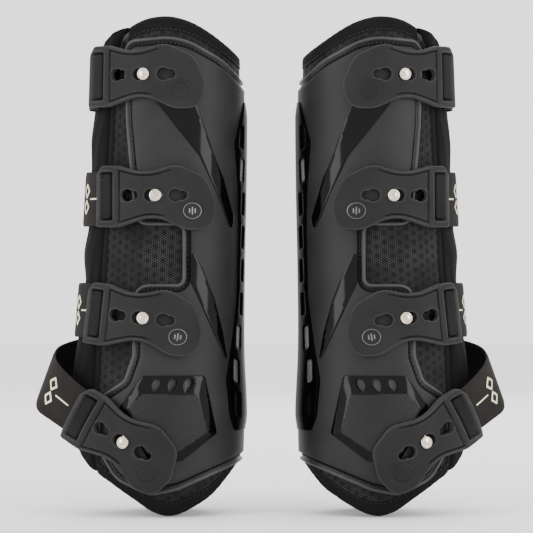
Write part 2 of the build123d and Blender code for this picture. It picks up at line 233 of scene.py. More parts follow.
# ---- meshes, as (flat points, distances out, faces) ----
def plate(outer, holes=(), low=0.0, high=1.0, bevel=0.5, step=1.2):
    """Closed plate with a rounded upper edge, from flat loops. Its faces look out at the top."""
    loops = [wound(outer)] + [wound(h, False) for h in holes]
    profile = [(bevel, low), (0, low), (0, high - bevel), (0.3 * bevel, high - 0.3 * bevel), (bevel, high)]
    flat, out, faces = [], [], []
    rings = []
    for loop in loops:
        inward = normals_of(loop)
        ring = []
        for inset, level in profile:
            start = len(flat)
            flat.extend(loop + inward * inset)
            out.extend([level] * len(loop))
            ring.append(list(range(start, start + len(loop))))
        rings.append(ring)
        for lower, upper in zip(ring, ring[1:]):
            count = len(loop)
            for i in range(count):
                j = (i + 1) % count
                faces.append((lower[i], lower[j], upper[j], upper[i]))
    edges = [np.array([flat[i] for i in ring[-1]]) for ring in rings]
    lows, highs = edges[0].min(0), edges[0].max(0)
    nx = int((highs[0] - lows[0]) / step) + 2
    ny = int((highs[1] - lows[1]) / (step * 0.87)) + 2
    lattice_points = [(i + 0.5 * (j % 2), j * 0.87) for j in range(ny) for i in range(nx)]
    grid = lows + np.array(lattice_points) * step
    grid = grid[within(grid, edges)]
    if len(grid):
        grid = grid[distance_to(grid, edges) > 0.55 * step]
    boundary = [i for ring in rings for i in ring[-1]]
    points = [Vector(flat[i]) for i in boundary] + [Vector(p) for p in grid]
    lines, start = [], 0
    for ring in rings:
        count = len(ring[-1])
        lines += [(start + i, start + (i + 1) % count) for i in range(count)]
        start += count
    made, _, triangles, origin, _, _ = delaunay_2d_cdt(points, lines, [], 0, 1e-5)
    made = np.array([tuple(p) for p in made])
    keep = within(np.array([made[list(t)].mean(0) for t in triangles]), edges)
    top_of, low_of = {}, {}
    bottoms = [i for ring in rings for i in ring[0]]
    for k, sources in enumerate(origin):
        ring_source = [s for s in sources if s < len(boundary)]
        if ring_source:
            top_of[k], low_of[k] = boundary[ring_source[0]], bottoms[ring_source[0]]
        else:
            top_of[k] = len(flat)
            flat.append(made[k])
            out.append(high)
            low_of[k] = len(flat)
            flat.append(made[k])
            out.append(low)
    for good, t in zip(keep, triangles):
        if good:
            a, b, c = made[t[0]], made[t[1]], made[t[2]]
            if (b[0] - a[0]) * (c[1] - a[1]) - (b[1] - a[1]) * (c[0] - a[0]) < 0:
                t = t[::-1]
            faces.append(tuple(top_of[i] for i in t))
            faces.append(tuple(low_of[i] for i in reversed(t)))
    return np.array(flat, float), np.array(out, float), faces


def strips(rows, columns, wrap_rows=False, wrap_columns=True):
    """Quads between rows of points, with a cap at each end where only one way is wrapped."""
    faces = []
    for k in range(rows if wrap_rows else rows - 1):
        n = (k + 1) % rows
        for i in range(columns if wrap_columns else columns - 1):
            j = (i + 1) % columns
            faces.append((k * columns + i, k * columns + j, n * columns + j, n * columns + i))
    if not wrap_rows:
        faces.append(tuple(reversed(range(columns))))
        faces.append(tuple((rows - 1) * columns + i for i in range(columns)))
    if not wrap_columns:
        faces.append(tuple(k * columns for k in range(rows)))
        faces.append(tuple(k * columns + columns - 1 for k in reversed(range(rows))))
    return faces


def piped(path, profile, closed=True):
    """Strip along a flat path with a closed profile of (distance to the right, distance out)."""
    path = np.asarray(path, float)
    right = -normals_of(path)
    if not closed:
        ends = np.gradient(path, axis=0)
        ends /= np.linalg.norm(ends, axis=1)[:, None]
        right = np.stack([ends[:, 1], -ends[:, 0]], -1)
    flat = np.concatenate([path + right * d for d, _ in profile])
    out = np.concatenate([np.full(len(path), t) for _, t in profile])
    return flat, out, strips(len(profile), len(path), True, closed)


def merged(parts):
    """Several flat meshes, rows of (flat, out, faces), as one."""
    faces, start = [], 0
    for flat, _, part in parts:
        faces += [tuple(i + start for i in face) for face in part]
        start += len(flat)
    return np.concatenate([p[0] for p in parts]), np.concatenate([p[1] for p in parts]), faces


def joined(parts):
    """Several meshes as one: rows of (points, faces, flat map, number of their material)."""
    points, faces, maps, kinds = [], [], [], []
    start = 0
    for p, f, uv, kind in parts:
        points.append(p)
        maps.append(uv)
        faces += [tuple(i + start for i in face) for face in f]
        kinds += [kind] * len(f)
        start += len(p)
    return np.vstack(points), faces, np.vstack(maps), kinds


def placed(points, side):
    """Points of the left boot's own frame, in the row frame in metres, for either boot."""
    points = np.array(points, float)
    x, y, z = points[:, 0], points[:, 1], points[:, 2]
    shift = -LEG_SPACING / 2
    if side == "right":
        x = -x
        c, s = math.cos(RIGHT_YAW), math.sin(RIGHT_YAW)
        x, y = x * c - y * s, x * s + y * c
        shift = LEG_SPACING / 2
    return np.stack([x + shift + PAIR_SHIFT[0], y + PAIR_SHIFT[1], z], -1) * MM


def make(
    name, points, faces, flat, materials, body="boot", node=None, slot=None, kinds=None, sharp=SHARP, pad=None
):
    """Makes one piece for each boot. Each rides on its boot or strap and stands for its CAD node."""
    made = {}
    for side in ("left", "right"):
        mesh = bpy.data.meshes.new(f"{side}_{name}")
        facing = faces if side == "left" else [tuple(reversed(f)) for f in faces]
        mesh.from_pydata(placed(points, side).tolist(), [], facing)
        for skin in materials if isinstance(materials, list) else [materials]:
            mesh.materials.append(skin)
        layer = mesh.uv_layers.new(name="UVMap")
        corner = np.zeros(len(mesh.loops), np.int32)
        mesh.loops.foreach_get("vertex_index", corner)
        layer.data.foreach_set("uv", (np.asarray(flat)[corner] * 0.01).astype(np.float32).ravel())
        if kinds is not None:
            mesh.polygons.foreach_set("material_index", np.array(kinds, np.int32))
        mesh.polygons.foreach_set("use_smooth", [True] * len(mesh.polygons))
        mesh.set_sharp_from_angle(angle=sharp)
        mesh.validate()
        piece = bpy.data.objects.new(f"{side}_{name}_look" if node else f"{side}_{name}", mesh)
        bpy.context.scene.collection.objects.link(piece)
        if body:
            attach(piece, f"{side}_{body}")
        if node:
            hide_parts(f"{side}_{node}")
        made[side] = piece
    return made


def on_surface(flat, out):
    """Flat points (unrolled distance from the back, height) to the surface."""
    return surface(flat[:, 0] / UNROLL, flat[:, 1], out)


def unrolled(loop):
    """Side-view outline on the outer side, as unrolled points."""
    return np.stack([side_angle(loop[:, 0], loop[:, 1]) * UNROLL, loop[:, 1]], -1)


def mirrored(loop):
    """A flat loop moved to the inner side."""
    return loop * [-1, 1]


def lay(name, mesh, materials, **options):
    """Makes a piece from a flat mesh (flat, out, faces) laid on the boot's surface."""
    flat, out, faces = mesh
    return make(name, on_surface(flat, out), faces, flat, materials, **options)


def rectangle(x0, x1, z0, z1, radius, step=0.8):
    """Rounded rectangle between two x and two heights."""
    return rounded([(x0, z1, radius), (x1, z1, radius), (x1, z0, radius), (x0, z0, radius)], step)


# ---- materials ----
WEAR_TONE = (0.16, 0.16, 0.165)
# Near-black painted into the holes of the meshes: painted shade in their openings.
PAINTED_HOLE_SHADE = (0.0008, 0.0008, 0.0009)


def add(tree, kind, inputs, **settings):
    """New shader node. Its inputs take plain values or other nodes' sockets."""
    node = tree.nodes.new(kind)
    for name, value in settings.items():
        setattr(node, name, value)
    for name, value in inputs.items():
        if isinstance(value, bpy.types.NodeSocket):
            tree.links.new(value, node.inputs[name])
        else:
            node.inputs[name].default_value = value
    return node


def mapped(tree, value, low, high, to_low=0.0, to_high=1.0):
    """A value moved from one range to another."""
    inputs = {"Value": value, "From Min": low, "From Max": high, "To Min": to_low, "To Max": to_high}
    return add(tree, "ShaderNodeMapRange", inputs).outputs["Result"]


def noise(tree, place, scale, detail):
    inputs = {"Vector": place["Object"], "Scale": scale, "Detail": detail}
    return add(tree, "ShaderNodeTexNoise", inputs).outputs["Fac"]


def combine(tree, operation, first, second):
    return add(tree, "ShaderNodeMath", {0: first, 1: second}, operation=operation).outputs[0]


def tinted(tree, factor, base, tone):
    """A colour that turns into a plain tone where the factor is 1."""
    mix = add(tree, "ShaderNodeMix", {0: factor, 6: base, 7: (*tone, 1)}, data_type="RGBA")
    return mix.outputs[2]


def scaled_uv(tree, place, pitch, turn=0.0):
    """UV coordinates that count pattern repeats, from a pitch in mm."""
    inputs = {"Vector": place["UV"], "Scale": (100 / pitch, 100 / pitch, 1), "Rotation": (0, 0, turn)}
    return add(tree, "ShaderNodeMapping", inputs).outputs["Vector"]


def waves(tree, vector, axis):
    """Ribs with one rib for each unit of the vector."""
    inputs = {"Vector": vector, "Scale": math.pi / 10}
    return add(tree, "ShaderNodeTexWave", inputs, wave_type="BANDS", bands_direction=axis).outputs["Fac"]


def grain(scale, strength, depth):
    """Pattern: plain noise."""

    def pattern(tree, place):
        return noise(tree, place, scale, 3), strength, depth, None

    return pattern


def ribs(pitch, axis, strength, depth, cross=None):
    """Pattern: ribs along one axis, crossed by finer ones, with yarn noise."""

    def pattern(tree, place):
        height = waves(tree, scaled_uv(tree, place, pitch), axis)
        if cross:
            second = waves(tree, scaled_uv(tree, place, cross), "Y" if axis == "X" else "X")
            height = combine(tree, "MULTIPLY", height, combine(tree, "ADD", second, 0.4))
        yarn = combine(tree, "MULTIPLY", noise(tree, place, 1500, 2), 0.7)
        return combine(tree, "ADD", height, yarn), strength, depth, None

    return pattern


def lattice(tree, place, pitch):
    """Rounded peaks on a hexagonal lattice, 0 to 1."""
    total = 0.0
    for turn in (0, 60, 120):
        wave = waves(tree, scaled_uv(tree, place, pitch * 0.866, math.radians(turn)), "X")
        total = combine(tree, "ADD", wave, total)
    return combine(tree, "DIVIDE", total, 3.0)


def cells(pitch, strength, depth, big=None):
    """Pattern: a honeycomb of raised yarn round holes, with a larger honeycomb over it. The holes are
    darkened with painted shade.
    """

    def pattern(tree, place):
        bright = mapped(tree, lattice(tree, place, pitch), 0.42, 0.85)
        if big:
            coarse = mapped(tree, lattice(tree, place, big), 0.28, 0.5, 0.25)
            bright = combine(tree, "MULTIPLY", bright, coarse)
        return bright, strength, depth, combine(tree, "SUBTRACT", 1.0, bright)

    return pattern


def twill(pitch, strength, depth):
    """Pattern: carbon-look blocks of ribs that turn from one direction to the other."""

    def pattern(tree, place):
        vector = scaled_uv(tree, place, pitch)
        check = add(tree, "ShaderNodeTexChecker", {"Vector": vector, "Scale": 1}).outputs["Fac"]
        first, second = waves(tree, vector, "X"), waves(tree, vector, "Y")
        mix = add(tree, "ShaderNodeMix", {0: check, 2: first, 3: second})
        return mix.outputs[0], strength, depth, None

    return pattern


def material(name, colour, roughness, pattern, metallic=0.0, specular=0.5, mottle=0.25, wear=0.0):
    """Shader with mottled colour and roughness, a raised pattern whose holes are darkened with painted shade,
    and worn edges.
    """
    made = bpy.data.materials.new(name)
    made.use_nodes = True
    tree = made.node_tree
    shader = tree.nodes["Principled BSDF"]
    shader.inputs["Metallic"].default_value = metallic
    shader.inputs["Specular IOR Level"].default_value = specular
    place = tree.nodes.new("ShaderNodeTexCoord").outputs
    cloud = noise(tree, place, 55, 6)
    tone = mapped(tree, cloud, 0.3, 0.7, 1 - mottle, 1 + mottle)
    base = add(tree, "ShaderNodeVectorMath", {0: colour, "Scale": tone}, operation="SCALE").outputs["Vector"]
    height, strength, depth, holes = pattern(tree, place)
    # A mesh's holes are real openings; their near-black colour is painted shade.
    if holes:
        base = tinted(tree, holes, base, PAINTED_HOLE_SHADE)
    if wear:
        edges = tree.nodes.new("ShaderNodeNewGeometry").outputs["Pointiness"]
        base = tinted(tree, mapped(tree, edges, 0.51, 0.6, 0.0, wear), base, WEAR_TONE)
    rough = mapped(tree, cloud, 0.0, 1.0, max(0.02, roughness - 0.06), min(1, roughness + 0.06))
    inputs = {"Height": height, "Strength": strength, "Distance": depth * MM}
    bump = add(tree, "ShaderNodeBump", inputs).outputs["Normal"]
    for socket, value in (("Base Color", base), ("Roughness", rough), ("Normal", bump)):
        tree.links.new(value, shader.inputs[socket])
    return made


SHELL = material(
    "matte_shell", (0.0105, 0.0105, 0.0108), 0.52,
    grain(1800, 0.35, 0.12), wear=0.25, specular=0.2,
)
GLOSS = material(
    "gloss_trim", (0.0012, 0.0012, 0.0014), 0.1,
    grain(300, 0.04, 0.05), specular=0.13, mottle=0.1,
)
GUARD_GLOSS = material(
    "guard_gloss", (0.0012, 0.0012, 0.0014), 0.24,
    grain(90, 0.1, 0.3), specular=0.012, mottle=0.1,
)
RUBBER = material(
    "strap_rubber", (0.0088, 0.0088, 0.009), 0.6,
    ribs(0.55, "X", 0.5, 0.09, 0.5), wear=0.25, specular=0.16,
)
PIPING = material("piping_rubber", (0.024, 0.024, 0.0245), 0.42, grain(1500, 0.25, 0.08), specular=0.3)
# Near-black rubber that paints shade into recesses: the flange's groove by the shell's edge, the lines in the
# tabs' edge grooves, and a sheet under the guard's slots.
GROOVE_SHADE = material("painted_groove_shade", (0.0016, 0.0016, 0.0018), 0.5, grain(1500, 0.3, 0.1), specular=0.08)
THREAD = material("thread", (0.004, 0.004, 0.0045), 0.35, ribs(0.35, "X", 0.6, 0.1), specular=0.3)
NEOPRENE = material(
    "neoprene_jersey", (0.0032, 0.0032, 0.0036), 0.8,
    ribs(0.55, "X", 0.5, 0.08, 0.45), specular=0.09,
)
KNIT = material("knit_binding", (0.0038, 0.0038, 0.0042), 0.8, ribs(0.7, "Y", 0.6, 0.12, 0.5), specular=0.1)
MESH = material(
    "spacer_mesh", (0.042, 0.042, 0.043), 0.6,
    cells(1.5, 1.0, 0.5, big=5.6), specular=0.1, mottle=0.5,
)
FOAM = material("foam_core", (0.03, 0.03, 0.03), 0.9, grain(900, 0.6, 0.2), specular=0.2)
ELASTIC = material(
    "elastic_web", (0.0118, 0.0100, 0.0090), 0.8,
    ribs(0.75, "Y", 0.8, 0.14, 0.6), specular=0.12,
)
# The elastic as seen in the tabs' windows: the same web, darker and greyer, as painted shade.
ELASTIC_IN_SHADE = material("window_web", (0.0075, 0.0075, 0.0078), 0.8, ribs(0.75, "Y", 0.8, 0.14, 0.6), specular=0.12)
PRINT = material("elastic_print", (0.62, 0.58, 0.42), 0.7, ribs(0.75, "Y", 0.5, 0.05), specular=0.2)
NICKEL = material(
    "satin_nickel", (0.58, 0.50, 0.42), 0.2,
    grain(700, 0.08, 0.05), metallic=1.0, mottle=0.08,
)
SCREEN = material("bright_mesh", (0.30, 0.30, 0.30), 0.4, cells(0.75, 1.0, 0.25), metallic=0.6)
CARBON = material("carbon_weave", (0.0055, 0.0055, 0.0058), 0.38, twill(1.1, 0.9, 0.14), specular=0.22)
BADGE = material("badge_rubber", (0.0078, 0.0078, 0.008), 0.5, grain(1200, 0.2, 0.06), specular=0.16)
# Silver metal used only on the middle straps' badges, as a painted glint; the same badges on the other straps
# stay plain rubber.
GLINT_SILVER = material("badge_ring_glint", (0.13, 0.13, 0.14), 0.3, grain(900, 0.1, 0.04), metallic=1.0, mottle=0.2)

# ---- rims of the sleeve, seen from the side: x, height ----
TOP_RIM = [(-62, 252), (-42.5, 277), (-25, 294), (-1, 301.5), (16, 299), (41, 285.5), (62, 268)]
FLAP_RIM = [(-62, 268), (-42.2, 280), (-41.2, 283), (-39.8, 286), (-36, 290.6), (-29.2, 294.2), (-10, 296)]
LOW_RIM = [
    (-63.2, 58), (-56.3, 43.4), (-46.7, 28.2), (-33.6, 18.8), (-19.5, 10), (-6.2, 2.2), (3.3, 0.05),
    (10.7, 1.0), (20.9, 5.2), (33, 12.9), (40.1, 20.6), (49.2, 32), (57.2, 44),
]
FLAP_BULGE = [  # height, and how far the flap swells there between the elastics
    (0, 2), (41, 2.6), (60, 3.6), (88, 4.8), (104, 3.6), (124, 1.5), (142, 1.6), (158, 3.4), (174, 1.8),
    (191.5, 1.5), (209, 2), (227, 3.2), (244, 2), (262, 1.2), (280, 0.6), (300, 0.2),
]
SOFT_EDGE = 4.0  # mm over which a sleeve's front edges are rounded
TAPE_WIDTH = 8.8


def rim_height(rim, angle):
    """Height of a rim at angles round the leg, found by going back and forth between x and height."""
    z = np.full_like(np.asarray(angle, float), 280.0 if rim is TOP_RIM else 25.0)
    for _ in range(4):
        centre, half = section(z)
        z = hermite(rim, centre + half * np.cos(angle))[..., 0]
    return z


def set_back(z):
    """Degrees that the sleeve's front edges lean back from the flap near the top."""
    return 17 * np.clip((z - 264) / 30, 0, 1) ** 1.5


def grid_faces(columns, rows):
    """Faces of a closed wall made of an inner grid of points and an outer one after it."""
    total = columns * rows
    faces = []
    for i in range(columns - 1):
        for j in range(rows - 1):
            p, q, r, s = i * rows + j, (i + 1) * rows + j, (i + 1) * rows + j + 1, i * rows + j + 1
            faces.append((p, q, r, s))
            faces.append((total + s, total + r, total + q, total + p))
    for i in range(columns - 1):
        p, q = i * rows, (i + 1) * rows
        faces.append((total + p, total + q, q, p))
        p, q = p + rows - 1, q + rows - 1
        faces.append((total + q, total + p, p, q))
    for j in range(rows - 1):
        faces.append((total + j + 1, total + j, j, j + 1))
        p = (columns - 1) * rows + j
        faces.append((total + p, total + p + 1, p + 1, p))
    return faces


def sleeve(from_angle, to_angle, inner, outer, inset, puff=0.0, columns=200, edge=0.0, flap=False):
    """Closed wall of the sleeve between two angles, with rounded front edges and a soft outer face."""
    rows = 120
    share = np.linspace(0, 1, columns)
    angles = np.radians(from_angle + (to_angle - from_angle) * share)
    low, high = rim_height(LOW_RIM, angles) + inset, rim_height(TOP_RIM, angles) - inset
    if flap:
        low = low + 2 * (2 * share - 1) ** 6
    up = np.linspace(0, 1, rows)
    z = low[:, None] + (high - low)[:, None] * up[None]
    # The front edges lean back near the top, so the upper rim is found again where they end up.
    lean = set_back(z) * (-1 if flap else 1)
    around = np.radians(from_angle + lean + (to_angle - from_angle - 2 * lean) * share[:, None])
    high = rim_height(FLAP_RIM if flap else TOP_RIM, around[:, -1]) - inset
    z = low[:, None] + (high - low)[:, None] * up[None]
    if flap:
        outer = outer + hermite(FLAP_BULGE, z)[..., 0] * np.cos((share[:, None] - 0.5) * 2.6)
    steps = np.minimum(np.arange(columns), np.arange(columns)[::-1])[:, None]
    near = steps * math.radians(to_angle - from_angle) / columns * UNROLL
    soften = np.clip(1 - near / SOFT_EDGE, 0, 1) ** 2 * edge
    wave = np.sin(around * 23 + z * 0.11) * np.sin(z * 0.07 + around * 5) * puff
    skin = surface(around, z, outer - soften + wave).reshape(-1, 3)
    back = surface(around, z, inner + soften * 0.3).reshape(-1, 3)
    flat = np.stack([around * UNROLL, z], -1).reshape(-1, 2)
    return np.concatenate([back, skin]), grid_faces(columns, rows), np.vstack([flat, flat])


def tape(angles, rim, sign, inner, outer, depth):
    """Binding tape folded over a rim: a closed U along it, softly rounded at the fold."""
    angles = np.radians(angles)
    if rim is TOP_RIM:
        middle = (angles[0] + angles[-1]) / 2
        reach = (angles[-1] - angles[0]) / 2
        angles = middle + (angles - middle) * (reach - math.radians(16.5)) / reach
    height = rim_height(rim, angles)
    middle, half = (inner + outer) / 2, (outer - inner) / 2
    thick, steps = 1.0, 14
    fold = [math.pi * k / steps for k in range(steps + 1)]
    profile = [(outer, depth), (outer + 0.05, depth * 0.6)]
    profile += [(middle + half * math.cos(turn), 3.4 - 3.4 * math.sin(turn)) for turn in fold]
    profile += [(inner - 0.05, depth * 0.6), (inner, depth), (inner + thick, depth), (inner + thick, 4.0)]
    profile += [(outer - thick, 4.0), (outer - thick, depth)]
    ripple = 0.12 * np.sin(angles * 61)
    points, flat = [], []
    for run, (out, down) in enumerate(profile, start=1):
        points.append(surface(angles, height - sign * down, out + ripple * (down < depth)))
        flat.append(np.stack([angles * UNROLL, np.full(len(angles), run * 1.1)], -1))
    faces = strips(len(profile), len(angles), True, False)
    return np.concatenate(points), faces if sign > 0 else [f[::-1] for f in faces], np.concatenate(flat)


def stitch_row(path, out, length=2.1, gap=1.1, radius=0.33):
    """Row of small rounded stitches along a flat path, as one mesh."""
    step, ring = 0.35, 6  # spacing along a stitch, and its sides
    path = resample(path, step, closed=False)
    per, skip = max(2, int(length / step)), max(1, int(gap / step))
    parts = []
    for start in range(0, len(path) - per - 1, per + skip):
        run = path[start : start + per + 1]
        along = np.gradient(run, axis=0)
        along /= np.linalg.norm(along, axis=1)[:, None]
        across = np.stack([along[:, 1], -along[:, 0]], -1)
        flat, level = [], []
        for k in range(len(run)):
            plump = math.sqrt(max(0.05, 1 - (2 * k / (len(run) - 1) - 1) ** 4))
            for m in range(ring):
                turn = 2 * math.pi * m / ring
                flat.append(run[k] + across[k] * radius * plump * math.cos(turn))
                level.append(out + radius * plump * math.sin(turn) * 0.8)
        parts.append((np.array(flat), np.array(level), [f[::-1] for f in strips(len(run), ring)]))
    return merged(parts)


# ---- sleeve pieces ----
def make_sleeve():
    # Inner and outer face, inset from the rims, look, slot, puff, roundness of the edges, filling
    walls = {
        "neoprene_lining": (-9.0, -6.6, 1.2, NEOPRENE, "neoprene", 0.0, 0.6, 0.5),
        "foam_padding": (-6.5, -3.7, 3.0, FOAM, "foam", 0.0, 0.0, 0.5),
        "mesh_facing": (-3.6, -2.75, 6.5, MESH, "air_mesh", 0.18, 0.3, None),
    }
    for name, (inner, outer, inset, skin, slot, puff, edge, pad) in walls.items():
        points, faces, flat = sleeve(-FLAP_FROM, FLAP_FROM, inner, outer, inset, puff, edge=edge)
        make(name, points, faces, flat, skin, node=name, slot=slot, pad=pad)
    gap = 0.9
    wall = sleeve(FLAP_FROM + gap, FLAP_TO - gap, -9.0, -3.2, 0.3, 0.25, columns=90, edge=2.2, flap=True)
    points, faces, flat = wall
    make("front_flap", points, faces, flat, NEOPRENE, node="front_flap", slot="neoprene", pad=0.6)
    for name, rim, sign in (("top_binding", TOP_RIM, 1), ("bottom_binding", LOW_RIM, -1)):
        angles = np.linspace(-FLAP_FROM, FLAP_FROM, 240)
        points, faces, flat = tape(angles, rim, sign, -9.7, -2.4, TAPE_WIDTH)
        make(name, points, faces, flat, KNIT, node=name, slot="binding_knit", sharp=math.radians(70))
        radians = np.radians(angles) * (0.87 if sign > 0 else 1.0)
        seam = np.stack([radians * UNROLL, rim_height(rim, radians) - sign * (TAPE_WIDTH - 0.9)], -1)
        lay(f"{name}_stitches", stitch_row(seam, -2.3, radius=0.3), THREAD)
    profile = [(-2.3, -3.2), (2.3, -3.2), (2.3, -2.6), (1.4, -2.2), (-1.4, -2.2), (-2.3, -2.6)]
    for name, side in (("outer", 1), ("inner", -1)):
        edge = np.full(160, math.radians(side * (FLAP_FROM - 2.2)))
        z = np.linspace(rim_height(LOW_RIM, edge)[0] + 8, rim_height(TOP_RIM, edge)[0] - 4, 160)
        path = np.stack([(edge - side * np.radians(set_back(z))) * UNROLL, z], -1)
        lay(f"facing_edge_{name}", piped(path, profile, closed=False), KNIT)


# ---- shell pieces ----
SHELL_BACK = [(10, 284.5, 40), (36, 271, 40), (70, 238, 1), (70, 45.7, 1), (8, 20.5, 15), (-8, 17.5, 15)]
SHELL_OUTER_FRONT = [
    (-27, 26, 15), (-38, 44, 15), (-37, 68, 8), (-20, 79, 12), (-13.8, 96, 12), (-13.8, 135, 5),
    (17, 135, 9), (17, 180, 9), (-13.2, 180, 5), (-18.8, 236, 30), (-21, 282.5, 4),
]
SHELL_INNER_FRONT = [(-27, 26, 12), (-33, 42, 20), (-31, 92, 40), (-25, 185, 40), (-20.5, 282.5, 4)]


def side_path(corners):
    """Unrolled outline of one side of the shell, from the back by the low edge and the front to the top."""
    loop = rounded(corners, 0.15)
    centre, half = section(loop[:, 1])
    seen = loop[:, 0] < centre + half
    start = int(np.flatnonzero(seen & ~np.roll(seen, 1))[0])
    loop, seen = np.roll(loop, -start, 0), np.roll(seen, -start)
    loop = unrolled(loop[seen])
    return loop if loop[0, 1] < loop[-1, 1] else loop[::-1]


def shell_loop():
    """Unrolled outline of the whole shell: its outer side, then its inner side back again."""
    outer = side_path(SHELL_BACK + SHELL_OUTER_FRONT)
    inner = mirrored(side_path(SHELL_BACK + SHELL_INNER_FRONT))
    return wound(resample(np.vstack([outer, inner[::-1]]), 1.1))


def circle(centre, radius, count):
    turns = np.linspace(0, 2 * math.pi, count, endpoint=False)
    return np.stack([centre[0] + radius * np.cos(turns), centre[1] + radius * np.sin(turns)], -1)


VENTS = [(-4.3, 79.2), (5.3, 79.2), (14.9, 79.2)]


def vent_loops(grow=0.0):
    """Leaf-shaped vents on the outer and inner side, unrolled."""
    found = []
    turns = np.linspace(0, 2 * math.pi, 36, endpoint=False)
    up = np.sin(turns)
    wide = np.abs(np.cos(turns)) ** 1.3 * np.sign(np.cos(turns)) * (1 + 0.35 * up)
    for x, z in VENTS:
        leaf = np.stack([x + (2.3 + grow) * wide + 1.1 * up, z + (4.0 + grow) * up], -1)
        found.append(unrolled(leaf))
    return found + [mirrored(f) for f in found]


def make_shell():
    loop = shell_loop()
    wall = plate(loop, vent_loops(0.2), -2.7, 0.0, 0.9, 2.2)
    lay("outer_shell", wall, SHELL, node="outer_shell", slot="shell_tpu")
    profile = [
        (0.15, -2.7), (0.15, -2.1), (0.7, -2.25), (2.0, -2.25), (2.6, -1.6), (3.0, -0.9), (3.7, -0.55),
        (4.5, -0.7), (5.0, -1.3), (5.1, -2.0), (5.0, -2.7),
    ]
    flange = piped(loop, profile)
    # The first three faces of the profile, the groove beside the shell's edge, take the painted groove shade.
    kinds = [1 if k < 3 * len(loop) else 0 for k in range(len(flange[2]))]
    lay("edge_flange", flange, [PIPING, GROOVE_SHADE], node="edge_flange", slot="piping_rubber", kinds=kinds,
        sharp=math.radians(60))
    seam = loop - normals_of(loop) * 1.35
    lay("edge_stitches", stitch_row(seam, -2.0, length=2.3, gap=1.0, radius=0.42), THREAD)


def both_sides(flat, out, faces):
    """A flat mesh on the outer side and its mirror image on the inner side."""
    return merged([(flat, out, faces), (mirrored(flat), out, [tuple(reversed(f)) for f in faces])])


def make_panels():
    base = rounded([(-12, 85, 2), (24.8, 85, 2), (32, 50, 2), (11, 33.5, 3), (-9, 35, 3), (-26, 66, 2)])
    face = rounded([(-11.6, 74.2, 1.5), (20.2, 73.4, 1.5), (25.6, 51, 1.5), (9, 39.5, 2), (-7, 40.5, 2),
                    (-20, 66.5, 2)])
    loop, inner = unrolled(base), unrolled(face)
    flat, out, faces = plate(loop, vent_loops(0.0)[: len(VENTS)], 0.1, 0.9, 0.35, 1.4)
    to_inner, to_edge = (distance_to(flat, [resample(path, 0.4)]) for path in (inner, loop))
    share = np.where(inside(flat, inner), 1.0, to_edge / (to_edge + to_inner + 1e-6))
    out = np.where(out > 0.6, out + 1.55 * share, out)
    weave = inside(np.array([flat[list(f)].mean(0) for f in faces]), inner)
    lay("fetlock_panels", both_sides(flat, out, faces), [GLOSS, CARBON], node="fetlock_panels",
        slot="gloss_black", kinds=[int(w) for w in weave] * 2, sharp=math.radians(25))
    screens = merged([plate(v, (), -1.6, -1.2, 0.15, 1.0) for v in vent_loops(0.1)])
    lay("vent_screens", screens, SCREEN, node="vent_screens", slot="steel_mesh")


def make_inlays():
    bands = [
        [(-8.5, 255, 1), (19.5, 249, 2), (24.5, 235.5, 8), (31.6, 214.5, 12), (36, 204, 12), (42.2, 180, 1.5),
         (41, 171, 1), (31.5, 196.5, 20), (22, 217, 10)],
        [(16.8, 163, 1.5), (24.4, 147.5, 10), (30.5, 131.5, 12), (35.8, 110, 14), (38.4, 93, 1),
         (36.2, 97, 2), (21.2, 131.5, 12), (16.6, 141, 2)],
    ]
    parts = [both_sides(*plate(unrolled(rounded(corners)), (), 0.02, 0.5, 0.18, 1.6)) for corners in bands]
    lay("gloss_inlays", merged(parts), GLOSS, node="gloss_inlays", slot="gloss_black")


GUARD_TOP, GUARD_FOOT = 251.5, 50.5
GUARD_SIDE = [
    (8, 251, 3), (17, 240, 8), (24, 226, 5), (19, 198, 14), (16.5, 170, 30), (17, 132, 30), (24, 102, 14),
    (30, 82, 10), (28, 60, 8), (23, 51, 3),
]
SLOT_MIDDLES = [(50, 17), (80, 21), (104, 16.5), (132, 11), (170, 10.5), (200, 12.5), (226, 16.5), (240, 13)]
SLOT_CORNERS = [(-3.4, 6.4), (2.6, 7.8), (3.6, -5.6), (-2.2, -7.6)]
SLOT_COUNT, SLOT_PITCH, TOP_SLOT = 9, 20.3, 229
SCREENED_SLOTS = (1, 6, 7)


def guard_loop(width, height):
    """Unrolled outline of the tendon guard, shrunk about its middle."""
    half = [(u * width, 150 + (z - 150) * height, r) for u, z, r in GUARD_SIDE]
    return rounded(half + [(-u, z, r) for u, z, r in reversed(half)])


def make_guard():
    slots, screens = [], []
    for k in range(SLOT_COUNT):
        z = TOP_SLOT - SLOT_PITCH * k
        middle = float(hermite(SLOT_MIDDLES, z)[0])
        slot = rounded([(middle + x, z + rise, 1.6) for x, rise in SLOT_CORNERS], 0.6)
        for loop in (mirrored(slot), slot):
            slots.append(loop)
            if k in SCREENED_SLOTS:
                screens.append(plate(loop, (), 0.15, 0.7, 0.2, 1.2))
    low = 0.1
    flat, out, faces = plate(guard_loop(1, 1), slots, low, 1.4, 0.6, 1.5)
    spine = swell(flat[:, 0], 0.3, 3.2) * (out > 1.0)
    ends = np.clip(np.minimum(GUARD_TOP - flat[:, 1], flat[:, 1] - GUARD_FOOT) / 9, 0.18, 1) ** 0.6
    ladder = flat, low + (out + spine - low) * ends, faces
    lay("tendon_guard", ladder, GUARD_GLOSS, node="tendon_guard", slot="gloss_black")
    # A near-black sheet under the guard, seen through its slots: painted shade.
    lay("guard_shade_sheet", plate(guard_loop(0.86, 0.95), (), 0.01, 0.12, 0.03, 2.5), GROOVE_SHADE)
    lay("guard_screens", merged(screens), SCREEN)


